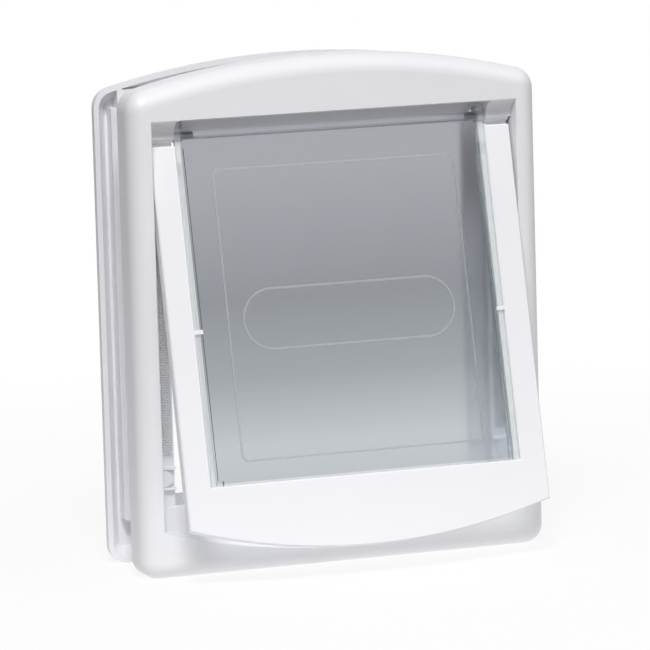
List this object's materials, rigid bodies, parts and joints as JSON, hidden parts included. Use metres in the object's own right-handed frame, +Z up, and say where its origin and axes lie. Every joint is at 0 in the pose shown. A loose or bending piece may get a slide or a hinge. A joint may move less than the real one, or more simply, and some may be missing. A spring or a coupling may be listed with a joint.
{
  "type": "cat flap",
  "caption": "Two-way cat flap for a door: arched white frames outside and inside, a hinged white flap surround and a clear swinging window.",
  "frame": {"origin": "middle of the bottom edge of the outer frame, in the plane of the door's outer face", "axes": "+Z up, +Y into the house through the door, +X to the right seen from outdoors"},
  "size_m": [0.198, 0.0952, 0.2341],
  "materials": {
    "white_plastic": "satin",
    "clear_plastic": "clear",
    "steel": "satin",
    "magnet": "matte",
    "grey_pile": "pile"
  },
  "bodies": {
    "frame": {"exterior_frame": "white_plastic", "interior_frame": "white_plastic", "hinge_hood_left": "white_plastic", "hinge_hood_right": "white_plastic", "hinge_pin_left": "steel", "hinge_pin_right": "steel", "sill_strip": "white_plastic", "sill_magnet": "magnet", "draught_seal_left": "grey_pile", "draught_seal_right": "grey_pile", "frame_screws": "steel", "screw_caps": "white_plastic"},
    "surround": {"flap_surround": "white_plastic", "flap_magnet": "magnet"},
    "window": {"flap_window": "clear_plastic"},
    "bolt_left": {"lock_bolt_left": "white_plastic"},
    "bolt_right": {"lock_bolt_right": "white_plastic"}
  },
  "joints": [
    {"name": "surround_hinge", "type": "hinge", "parent": "frame", "child": "surround", "pos_m": [0, -0.0069, 0.2008], "axis": [-1, 0, 0], "range_deg": [-13, 67]},
    {"name": "window_hinge", "type": "hinge", "parent": "surround", "child": "window", "pos_m": [0, -0.0069, 0.2008], "axis": [-1, 0, 0], "range_deg": [-78, 0]},
    {"name": "bolt_left_slide", "type": "slide", "parent": "frame", "child": "bolt_left", "axis": [1, 0, 0], "range_m": [0, 0.0062]},
    {"name": "bolt_right_slide", "type": "slide", "parent": "frame", "child": "bolt_right", "axis": [-1, 0, 0], "range_m": [0, 0.0062]}
  ]
}
